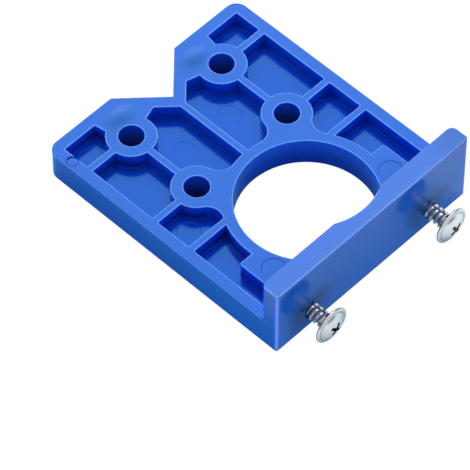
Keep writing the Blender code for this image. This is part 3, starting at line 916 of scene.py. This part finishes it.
    def in_pin_rim(self, here: Vector, level: float) -> bool:
        """Tell whether a place, counted from the cup's centre, is on the sloping rim of a pin mark."""
        spot = Vector((abs(here.x), here.y))
        near = any(abs((spot - place.xy).length - self.pin_radius) < 0.3 * MM for place in self.pin_places())
        return near and level < 0.95

    def wall_painted_shading(self, here: Vector, normal: Vector) -> float:
        """Return the light and shade painted on an upright wall or the underside, at a place counted from the cup's
        centre.
        """
        bosses = [Vector((side.value * boss.x, boss.y)) for side in Side for boss in (self.near, self.far)]
        risen = max(0.0, here.z / self.thickness)
        # Pilot holes get painted shade, deepest at their bottom.
        if any((here.xy - boss).length < self.pilot_radius + 2 * self.rim_round for boss in bosses):
            return PaintedShading.HOLE.value + (PaintedShading.WALL.value - PaintedShading.HOLE.value) * risen ** 2
        # Screw holes and undersides get the darkest painted shade.
        by_screw = Vector((abs(here.x) - self.screw_spacing / 2, here.z - self.screw_height)).length
        if here.y > self.front + 0.1 * MM and by_screw < self.screw_hole_radius + 0.1 * MM or normal.z < -0.05:
            return PaintedShading.HOLE.value
        outside = here.y < self.front + 2 * self.fence_face_corner or abs(here.x) > self.half - 0.1 * MM
        if outside:
            return self.face_painted_shading(here, normal)
        # Pocket walls get painted shade that deepens towards their foot.
        risen = (here.z - self.floor) / (self.thickness - self.floor)
        return PaintedShading.WALL.value * min(1.0, max(0.4, 0.4 + 0.6 * risen))

    def face_painted_shading(self, here: Vector, normal: Vector) -> float:
        """Return the light and shade painted on the outer side: a painted highlight along its top edges and front
        corners, and a painted shade line at its foot.
        """
        # A painted shade line along the foot.
        if here.z < 1.2 * self.base_round:
            return PaintedShading.SHADE.value
        top = self.fence_height if here.y < self.fence_inner else self.thickness
        # Painted highlight along the top edges and round the fence's front corners.
        lit = 0.6 if here.z > top - 1.1 * self.outer_round else 0.0
        across = Vector((self.half - abs(here.x), here.y - self.front)) / (self.fence_face_corner + self.lip)
        if max(across) < 1.0 and here.z < top - 0.1 * self.outer_round:
            lit = max(lit, 0.9 * min(1.0, 6 * normal.x ** 2 * normal.y ** 2), 0.4 * (1.0 - max(across)))
        base = PaintedShading.FACE.value
        # The rail sides get painted shade that deepens towards the back.
        if abs(here.x) > self.half - 0.1 * MM and here.y > self.fence_inner:
            base -= 0.02 + 0.04 * (here.y - self.fence_inner) / (self.cup_to_back - self.fence_inner)
        return base + (PaintedShading.EDGE.value - base) * lit

    def paint_lines(self) -> list[tuple[Vector, Vector]]:
        """Return the planes, each a point and a normal, at which the painted light and shade of upright faces may
        change.
        """
        across, corner = self.outer_round + self.lip, self.fence_face_corner + self.lip
        up, aside, ahead = Vector((0.0, 0.0, 1.0)), Vector((1.0, 0.0, 0.0)), Vector((0.0, 1.0, 0.0))
        heights = (self.base_round + 0.25 * MM, 0.8 * self.floor, self.thickness - across,
                   self.fence_height - across)
        lines = [(up * height, up) for height in heights]
        lines += [(aside * side.value * (self.half - corner), aside) for side in Side]
        return lines + [(ahead * (self.front + corner), ahead)]

    def patches(self) -> list[Patch]:
        """Return the soft patches of the moulding: humps on its thick ears, and painted shade on the ears, pads, fence
        top and fence face.
        """
        top, ridge = self.thickness + self.shift.z, self.fence_height + self.shift.z
        ear = self.far.y + self.shift.y + 6.2 * MM
        foot = self.fence_inner + self.shift.y
        pad = self.screw_spacing / 2
        # Painted shade on the right end of the fence top.
        made = [Patch((30.5 * MM, foot - 3.0 * MM, ridge), (11.0 * MM, 9.0 * MM, 3.0 * MM), tone=-0.22)]
        for side in Side:
            x = (13.0 if side is Side.LEFT else 12.5) * MM * side.value
            made.append(Patch((x, ear, top), (4.5 * MM, 2.8 * MM, 2.0 * MM), rise=0.45))
            # Painted shade on each ear, and on each pad, deepest next to the fence.
            made.append(Patch((x - 1.2 * MM, ear - 1.0 * MM, top), (6.0 * MM, 4.0 * MM, 2.0 * MM), tone=-0.3))
            made.append(Patch((side.value * pad, foot - 1.0 * MM, top), (9.5 * MM, 15.0 * MM, 2.0 * MM), tone=-0.38))
        # Painted shadow and painted reflection on the fence face left of each screw: the screw's shadow and its head's
        # dark back mirrored in the face.
        face = self.front + self.shift.y
        made.append(Patch((-pad - 4.0 * MM, face, 6.0 * MM), (6.5 * MM, 3.0 * MM, 9.0 * MM), tone=-0.4))
        made.append(Patch((pad - 4.7 * MM, face, 9.0 * MM), (6.5 * MM, 3.0 * MM, 10.0 * MM), tone=-0.35))
        return made

    def build(self) -> bpy.types.Object:
        """Make the body in its place in the frame."""
        body = self.plate()
        Bench.join(body, [self.fence()], "UNION")
        Bench.join(body, [self.cup_cutter(), *self.screw_cutters()], "DIFFERENCE")
        Bench.ease_rims(body, self.thickness, self.rim_round, self.rim_drop)
        pins = PinMarks(self.pin_radius, self.pin_depth, self.pin_places()).build()
        Bench.join(body, [self.gate_cutter(), *pins], "DIFFERENCE")
        Bench.score(body, self.paint_lines())
        for vert in body.data.vertices:
            vert.co.x = min(max(vert.co.x, -self.half), self.half)
        body.data.shade_smooth()
        body.data.set_sharp_from_angle(angle=math.radians(32))
        weigh = body.modifiers.new("weighted_normals", "WEIGHTED_NORMAL")
        weigh.keep_sharp = True
        split = body.modifiers.new("triangles", "TRIANGULATE")
        split.min_vertices = 5
        split.keep_custom_normals = True
        Bench.settle(body)
        Bench.place(body, Matrix.Translation(self.shift))
        # Paint light and shade on every corner, for the plastic's colour ramp.
        Bench.paint(body, PAINTED_SHADING_LAYER, self.painted_shading)
        body.data.materials.clear()
        body.data.materials.append(MouldedPlastic().build(self.patches()))
        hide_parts("jig_body")
        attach(body, "jig")
        return body


@dataclass
class PinMarks:
    """The shallow round marks of the ejector pins, made as cutters by a node tree."""

    radius: float
    depth: float
    places: list[Vector]

    def tree(self) -> bpy.types.NodeTree:
        """Build the tree that sets a shallow cone on each point of a mesh."""
        tree = bpy.data.node_groups.new("pin_marks", "GeometryNodeTree")
        face = tree.interface
        face.new_socket("Points", in_out="INPUT", socket_type="NodeSocketGeometry")
        for name in ("Radius", "Depth", "Slope"):
            face.new_socket(name, in_out="INPUT", socket_type="NodeSocketFloat")
        face.new_socket("Finish", in_out="INPUT", socket_type="NodeSocketMaterial")
        face.new_socket("Marks", in_out="OUTPUT", socket_type="NodeSocketGeometry")
        graph = Graph(tree)
        given = graph.node("NodeGroupInput")
        radius = graph.wire(given, "Radius")
        depth = graph.wire(given, "Depth")
        lean = depth * graph.wire(given, "Slope")
        cone = graph.node("GeometryNodeMeshCone", {"fill_type": "NGON"}, Vertices=64, Side_Segments=1,
                          Radius_Top=radius + lean, Radius_Bottom=radius - lean, Depth=depth * 2.0)
        sunk = graph.node("GeometryNodeTransform", Geometry=graph.wire(cone, "Mesh"))
        drop = graph.node("ShaderNodeCombineXYZ", Z=depth * -1.0)
        graph.fill(sunk.inputs["Translation"], graph.wire(drop))
        spread = graph.node("GeometryNodeInstanceOnPoints", Points=graph.wire(given, "Points"),
                            Instance=graph.wire(sunk))
        real = graph.node("GeometryNodeRealizeInstances", Geometry=graph.wire(spread))
        dressed = graph.node("GeometryNodeSetMaterial", Geometry=graph.wire(real),
                             Material=graph.wire(given, "Finish"))
        graph.node("NodeGroupOutput", Marks=graph.wire(dressed))
        return tree

    def build(self) -> list[bpy.types.Object]:
        """Make one cutter object for all marks of each side."""
        tree = self.tree()
        cutters = []
        for side in Side:
            mesh = bpy.data.meshes.new("pin_points")
            mesh.from_pydata([(side.value * place.x, place.y, place.z) for place in self.places], [], [])
            points = Bench.link("pin_marks_" + side.name.lower(), mesh)
            Nodes.attach(points, tree, {"Radius": self.radius, "Depth": self.depth, "Slope": 1.2})
            Bench.settle(points)
            cutters.append(points)
        return cutters


class Nodes:
    """Helpers for modifiers that run a node tree."""

    @staticmethod
    def attach(item: bpy.types.Object, tree: bpy.types.NodeTree, values: dict[str, object]) -> None:
        """Add a tree as a modifier and set its inputs by their names.

        Args:
            item: The object.
            tree: The node tree.
            values: Values by the names of the tree's inputs.
        """
        step = item.modifiers.new(tree.name, "NODES")
        step.node_group = tree
        for entry in tree.interface.items_tree:
            if entry.item_type == "SOCKET" and entry.in_out == "INPUT" and entry.name in values:
                step[entry.identifier] = values[entry.name]


@dataclass
class StopScrew:
    """A pan washer head tapping screw, turned from a section, with a thread made by a node tree."""

    side: Side
    recess_turn: float
    crest: float = 2.1 * MM
    root: float = 1.5 * MM
    pitch: float = 1.41 * MM
    length: float = 16.0 * MM
    point: float = 2.2 * MM
    head_radius: float = 4.9 * MM
    collar: float = 0.7 * MM
    dome_radius: float = 3.9 * MM
    dome_height: float = 1.3 * MM
    dome_power: float = 2.2
    back_round: float = 0.25 * MM
    slot_span: float = 5.0 * MM
    slot_width: float = 1.0 * MM
    slot_depth: float = 1.5 * MM
    head_sides: int = 256
    sides: int = 96

    def head_profile(self) -> list[tuple[float, float]]:
        """Return the half section of the head, from the top of the dome round to its underside."""
        steps = 24
        profile = [(0.0, self.collar + self.dome_height)]
        for step in range(1, steps + 1):
            share = step / steps
            profile.append((self.dome_radius * share, self.collar + self.dome_height * (1 - share ** self.dome_power)))
        edge = self.collar - self.back_round
        for step in range(0, 7):
            turn = math.pi / 2 * (1 - step / 6)
            radius = self.head_radius - edge + edge * math.cos(turn)
            profile.append((radius, self.collar - edge + edge * math.sin(turn)))
        for step in range(1, 5):
            turn = math.pi / 2 * step / 4
            radius = self.head_radius - self.back_round * (1 - math.cos(turn))
            profile.append((radius, self.back_round * (1 - math.sin(turn))))
        return profile + [(0.0, 0.0)]

    def painted_shade(self, place: Vector, normal: Vector) -> float:
        """Return the painted shade of the plating at a corner of the screw before it is placed, head up.

        Args:
            place: The corner's place.
            normal: Normal of the corner's face.

        Returns:
            Zero on open faces and up to one, as painted shade, in the recess, under the head and in the thread's
            roots.
        """
        radius, height = place.xy.length, place.z
        # Painted shade under the head, and in the thread's roots.
        if height < 0.01 * MM:
            if radius > self.crest + 0.02 * MM:
                return 1.0
            sunk = (self.crest - radius) / (self.crest - self.root)
            return 0.6 * min(1.0, max(0.0, (sunk - 0.45) / 0.4))
        # Painted shade on the rounded back rim of the head.
        if radius > self.head_radius - self.back_round and height < self.back_round + 0.01 * MM:
            return 1.0
        # Painted shade in the cross recess.
        if radius < self.slot_span / 2 + 0.05 * MM:
            deep = height < self.collar + self.dome_height - 0.5 * self.slot_depth
            return 0.95 if deep or abs(normal.z) < 0.6 else 0.0
        # A painted shade line at the step between collar and dome.
        at_step = abs(radius - self.dome_radius) < 0.02 * MM and height < self.collar + 0.3 * MM
        return 0.5 if at_step else 0.0

    def thread_tree(self) -> bpy.types.NodeTree:
        """Build the tree that rolls a flat grid into a threaded shank.

        The grid's X is the angle round the screw and its Y the distance down it. Rows are sheared by one
        pitch a turn, so that they follow the thread, and each point's radius is read from the thread's
        section, which fades towards the point.

        Returns:
            The tree, with the sizes of the thread as its inputs.
        """
        tree = bpy.data.node_groups.new("rolled_thread", "GeometryNodeTree")
        face = tree.interface
        face.new_socket("Blank", in_out="INPUT", socket_type="NodeSocketGeometry")
        for name in ("Crest", "Root", "Pitch", "Length", "Point"):
            face.new_socket(name, in_out="INPUT", socket_type="NodeSocketFloat")
        face.new_socket("Finish", in_out="INPUT", socket_type="NodeSocketMaterial")
        face.new_socket("Thread", in_out="OUTPUT", socket_type="NodeSocketGeometry")
        graph = Graph(tree)
        given = graph.node("NodeGroupInput")
        crest, root = graph.wire(given, "Crest"), graph.wire(given, "Root")
        pitch, length = graph.wire(given, "Pitch"), graph.wire(given, "Length")
        point = graph.wire(given, "Point")
        place = graph.node("ShaderNodeSeparateXYZ", Vector=graph.wire(graph.node("GeometryNodeInputPosition")))
        turn, row = graph.wire(place, 0), graph.wire(place, 1)
        turns = turn / (2 * math.pi)
        phase = graph.math("FRACT", row + 1000.0)
        flank = graph.math("ABSOLUTE", phase - 0.5) * 2.0
        section = ((flank - 0.22) / 0.62).clamp(0.0, 1.0)
        down = ((row + turns) * pitch).clamp(0.0, 1.0)
        down = graph.math("MINIMUM", down, length)
        left = ((length - down) / point).clamp(0.0, 1.0)
        start = (down / (pitch * 0.4)).clamp(0.0, 1.0)
        height = (crest - root) * section * start * graph.math("POWER", left, 0.6)
        core = root * (left * 0.62 + 0.38)
        radius = height + core
        x = radius * graph.math("COSINE", turn)
        y = radius * graph.math("SINE", turn)
        rolled = graph.node("ShaderNodeCombineXYZ", X=x, Y=y, Z=down * -1.0)
        moved = graph.node("GeometryNodeSetPosition", Geometry=graph.wire(given, "Blank"), Position=graph.wire(rolled))
        welded = graph.node("GeometryNodeMergeByDistance", Geometry=graph.wire(moved), Distance=2e-6)
        real = graph.node("GeometryNodeRealizeInstances", Geometry=graph.wire(welded))
        dressed = graph.node("GeometryNodeSetMaterial", Geometry=graph.wire(real),
                             Material=graph.wire(given, "Finish"))
        graph.node("NodeGroupOutput", Thread=graph.wire(dressed))
        return tree

    def blank(self) -> bpy.types.Object:
        """Make the flat grid that the thread tree rolls up, with a row every twelfth of a pitch."""
        rows_per_pitch = 12
        pitches = math.ceil(self.length / self.pitch) + 2
        shape = bmesh.new()
        rows = rows_per_pitch * pitches
        columns = self.sides
        grid = [[shape.verts.new((2 * math.pi * column / columns, -1.0 + row / rows_per_pitch, 0.0))
                 for column in range(columns + 1)] for row in range(rows + 1)]
        for row in range(rows):
            for column in range(columns):
                shape.faces.new((grid[row][column], grid[row][column + 1],
                                 grid[row + 1][column + 1], grid[row + 1][column]))
        return Bench.finish("thread_" + self.side.name.lower(), shape)

    def shank(self) -> bpy.types.Object:
        """Make the closed threaded shank."""
        item = self.blank()
        sizes = {"Crest": self.crest, "Root": self.root, "Pitch": self.pitch, "Length": self.length,
                 "Point": self.point}
        Nodes.attach(item, self.thread_tree(), sizes)
        Bench.settle(item)
        with Bench.edit(item) as shape:
            bmesh.ops.dissolve_degenerate(shape, edges=shape.edges, dist=MERGE)
            bmesh.ops.remove_doubles(shape, verts=shape.verts, dist=2 * MERGE)
            Bench.close(shape)
        return item

    def slots(self) -> list[bpy.types.Object]:
        """Make the cutters of the cross recess."""
        cutters = []
        height = self.slot_depth + MM
        middle = self.collar + self.dome_height - self.slot_depth + height / 2
        for quarter in (0.0, math.pi / 2):
            shape = bmesh.new()
            corners = bmesh.ops.create_cube(shape, size=1.0)["verts"]
            for corner in corners:
                low = corner.co.z < 0
                span = self.slot_span * (0.42 if low else 1.0)
                width = self.slot_width * (0.72 if low else 1.0)
                corner.co = (corner.co.x * span, corner.co.y * width, corner.co.z * height)
            place = Matrix.Rotation(quarter + self.recess_turn, 4, "Z") @ Matrix.Translation((0.0, 0.0, middle))
            bmesh.ops.transform(shape, matrix=place, verts=corners)
            cutters.append(Bench.finish("recess_slot", shape))
        return cutters

    def build(self, finish: bpy.types.Material) -> bpy.types.Object:
        """Make the screw in its place in the frame.

        Args:
            finish: Material of the screw.

        Returns:
            The screw.
        """
        name = self.side.name.lower()
        low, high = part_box("screw_" + name)
        head = Bench.lathe("threaded_screw_" + name, self.head_profile(), self.head_sides)
        Bench.join(head, self.slots(), "DIFFERENCE")
        shank = self.shank()
        seat = Vector(((low.x + high.x) / 2, high.y - self.length, (low.z + high.z) / 2))
        shank.data.transform(Matrix.Translation((0.0, 0.0, 0.05 * MM)))
        Bench.join(head, [shank], "UNION")
        head.data.shade_smooth()
        head.data.set_sharp_from_angle(angle=math.radians(40))
        # Paint shade into the recess, under the head and into the thread's roots.
        Bench.paint(head, PAINTED_SHADE_LAYER, self.painted_shade)
        Bench.place(head, Matrix.Translation(seat) @ Matrix.Rotation(math.pi / 2, 4, "X"))
        head.data.materials.clear()
        head.data.materials.append(finish)
        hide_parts("screw_" + name)
        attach(head, name + "_stop")
        return head


@dataclass
class Studio:
    """A pale floor, soft lights and the camera of the photograph."""

    target: Vector = field(default_factory=lambda: Vector((-17.222, -5.780, 5.0)) * MM)
    look: float = math.radians(45.807)
    elevation: float = math.radians(53.448)
    distance: float = 968.43 * MM
    lens: float = 315.17
    sensor: float = 36.0
    floor_size: float = 3.0
    sky: float = 0.42
    sky_mirrored: float = 0.9
    floor_glow: float = 1.3
    near_gleam: tuple[float, float, float] = (0.08, 0.18, 0.22)
    far_gleam: tuple[float, float, float] = (0.08, 0.16, 0.19)
    # Painted blue bounce light and shade on the paper near the jig, seen only in reflections.
    painted_bounce_tint: tuple[float, float, float] = (0.3, 0.85, 1.0)
    front_dimmed: float = 0.85
    paper_dull: tuple[float, float, float] = (0.78, 0.78, 0.79)
    paper_bright: tuple[float, float, float] = (0.82, 0.82, 0.82)
    glow: float = 1.07
    glow_share: float = 0.92
    mirrored_reach: float = 9.5 * MM
    mirrored_fade: float = 4.0 * MM
    dark_front: float = 0.85
    key_distance: float = 0.5
    key_size: float = 0.55
    key_radiance: float = 2.6

    def camera(self) -> None:
        """Set up the camera on the side from which the jig was photographed."""
        data = bpy.data.cameras.new("camera")
        data.lens = self.lens
        data.sensor_width = self.sensor
        data.clip_start = 0.01
        data.clip_end = 20.0
        flat = math.cos(self.elevation)
        ahead = Vector((math.sin(self.look) * flat, math.cos(self.look) * flat, -math.sin(self.elevation)))
        bpy.context.scene.camera = self.aim("camera", data, self.target - ahead * self.distance, ahead)

    @staticmethod
    def aim(name: str, data: bpy.types.ID, place: Vector, ahead: Vector) -> bpy.types.Object:
        """Put a camera or a light at a place, looking along a direction."""
        made = bpy.data.objects.new(name, data)
        made.location = place
        made.rotation_mode = "QUATERNION"
        made.rotation_quaternion = ahead.to_track_quat("-Z", "Y")
        bpy.context.scene.collection.objects.link(made)
        return made

    def beside(self, graph: Graph, body: "JigBody") -> tuple[Wire, Wire, Wire, Wire]:
        """Return masks of the floor.

        Args:
            graph: The floor's shader.
            body: The body, for its outline and its cup hole.

        Returns:
            One beside the jig or in its cup hole, one beside the jig alone, one before its fence, and one
            that fades away from it.
        """
        place = graph.wire(graph.node("ShaderNodeTexCoord"), "Object")
        parts = graph.node("ShaderNodeSeparateXYZ", Vector=place)
        x, y = graph.wire(parts, 0) - body.shift.x, graph.wire(parts, 1) - body.shift.y
        side = graph.math("ABSOLUTE", x)
        past_x = graph.math("MAXIMUM", side - (body.half - body.back_corner), 0.0)
        past_y = graph.math("MAXIMUM", y - (body.cup_to_back - body.back_corner), 0.0)
        past = graph.math("SQRT", past_x * past_x + past_y * past_y)
        over_side = graph.math("GREATER_THAN", past, body.back_corner - body.outer_round)
        over_notch = graph.math("GREATER_THAN", y - side * body.slope, body.cup_to_back - body.notch_depth)
        over_front = graph.math("LESS_THAN", y, body.front + body.outer_round)
        beside = graph.math("MAXIMUM", graph.math("MAXIMUM", over_side, over_notch), over_front)
        reach = graph.math("SQRT", x * x + y * y)
        in_hole = graph.math("LESS_THAN", reach, body.cup_radius + 2.5 * MM)
        away = graph.math("MAXIMUM", side - body.half, y - body.cup_to_back)
        away = graph.math("MAXIMUM", away, body.front - y)
        near = ((self.mirrored_reach - away) / self.mirrored_fade).clamp(0.0, 1.0)
        return graph.math("MAXIMUM", beside, in_hole), beside, over_front, near

    def floor(self, body: "JigBody") -> bpy.types.Object:
        """Lay the pale floor, which stays white to the camera and keeps a soft shadow, and whose paper near the jig
        carries painted blue bounce light and shade in reflections.
        """
        shape = bmesh.new()
        bmesh.ops.create_grid(shape, x_segments=2, y_segments=2, size=self.floor_size / 2)
        made = Bench.finish("floor", shape)
        finish = bpy.data.materials.new("pale_paper")
        finish.use_nodes = True
        graph = Graph(finish.node_tree)
        for node in list(finish.node_tree.nodes):
            finish.node_tree.nodes.remove(node)
        open_floor, beside, before, near = self.beside(graph, body)
        path = graph.node("ShaderNodeLightPath")
        seen = graph.wire(path, "Is Camera Ray") * open_floor
        bounced = graph.wire(path, "Is Diffuse Ray") * beside
        mirrored = graph.wire(path, "Is Glossy Ray") * near * (1.0 - before * self.front_dimmed)
        place = graph.wire(graph.node("ShaderNodeTexCoord"), "Object")
        fibre = graph.wire(graph.node("ShaderNodeTexNoise", Vector=place, Scale=900.0, Detail=2.0), 0)
        tone = graph.mix(fibre, self.paper_dull, self.paper_bright)
        # In reflections the paper near the jig is tinted with the painted bounce light and shade.
        paper = graph.node("ShaderNodeBsdfDiffuse", Color=graph.mix(mirrored, tone, self.painted_bounce_tint, "MULTIPLY"))
        glow = graph.node("ShaderNodeEmission", Strength=self.glow)
        lit = seen * self.glow_share
        first = graph.node("ShaderNodeMixShader", i0=lit, i1=graph.wire(paper), i2=graph.wire(glow))
        bounce = graph.node("ShaderNodeEmission", Strength=bounced * self.floor_glow)
        gleam = graph.node("ShaderNodeEmission", Color=graph.mix(near, self.far_gleam, self.near_gleam),
                           Strength=graph.wire(path, "Is Glossy Ray") * before)
        both = graph.node("ShaderNodeAddShader", i0=graph.wire(bounce), i1=graph.wire(gleam))
        blend = graph.node("ShaderNodeAddShader", i0=graph.wire(first), i1=graph.wire(both))
        graph.node("ShaderNodeOutputMaterial", Surface=graph.wire(blend))
        made.data.materials.append(finish)
        return made

    def world(self) -> None:
        """Fill the studio with soft, even light, white to the camera and paler in reflections."""
        made = bpy.data.worlds.new("studio")
        bpy.context.scene.world = made
        made.use_nodes = True
        graph = Graph(made.node_tree)
        path = graph.node("ShaderNodeLightPath")
        seen = graph.wire(path, "Is Camera Ray")
        mirrored = graph.math("MAXIMUM", graph.wire(path, "Is Glossy Ray"), graph.wire(path, "Is Transmission Ray"))
        ahead = graph.node("ShaderNodeSeparateXYZ", Vector=graph.wire(graph.node("ShaderNodeTexCoord"), "Generated"))
        rise = graph.wire(ahead, 2)
        before = (0.3 - graph.wire(ahead, 1) * 1.5).clamp(0.0, 1.0)
        band = ((rise + 0.15) / 0.15).clamp(0.0, 1.0) * ((0.62 - rise) / 0.2).clamp(0.0, 1.0) * before
        soft_mirrored = self.sky_mirrored * (1.0 - band * self.dark_front)
        strength = self.sky + seen * (1.0 - self.sky) + mirrored * (soft_mirrored - self.sky)
        back = made.node_tree.nodes["Background"]
        back.inputs["Color"].default_value = (1.0, 1.0, 1.0, 1.0)
        graph.fill(back.inputs["Strength"], strength)

    def lamp(self, name: str, azimuth: float, elevation: float, distance: float, size: float,
             radiance: float) -> None:
        """Hang a square soft light that looks at the jig.

        Args:
            name: Name of the light.
            azimuth: Direction to it in degrees, as for a camera: 0 is at -Y and 90 at +X.
            elevation: Height above the horizon in degrees.
            distance: Distance from the jig in metres.
            size: Side of the light in metres.
            radiance: Brightness of its face.
        """
        data = bpy.data.lights.new(name, "AREA")
        data.energy = radiance * math.pi * size * size
        data.size = size
        turn, rise = math.radians(azimuth), math.radians(elevation)
        away = Vector((math.sin(turn) * math.cos(rise), -math.cos(turn) * math.cos(rise), math.sin(rise)))
        self.aim(name, data, away * distance, -away)

    def build(self, body: "JigBody") -> None:
        """Set up everything round the jig."""
        self.camera()
        self.floor(body)
        self.world()
        self.lamp("back_softbox", 134.2, 53.4, self.key_distance, self.key_size, self.key_radiance)
        settings = bpy.context.scene.view_settings
        settings.view_transform = "Standard"


def main() -> None:
    """Build the studio, the body and the screws."""
    jig = JigBody()
    Studio().build(jig)
    body = jig.build()
    log.info("%s: %d faces", body.name, len(body.data.polygons))
    steel = PlatedSteel().build()
    for side, turn in ((Side.LEFT, 50.0), (Side.RIGHT, 32.0)):
        screw = StopScrew(side, math.radians(turn)).build(steel)
        log.info("%s: %d faces", screw.name, len(screw.data.polygons))


if __name__ == "__main__":
    main()
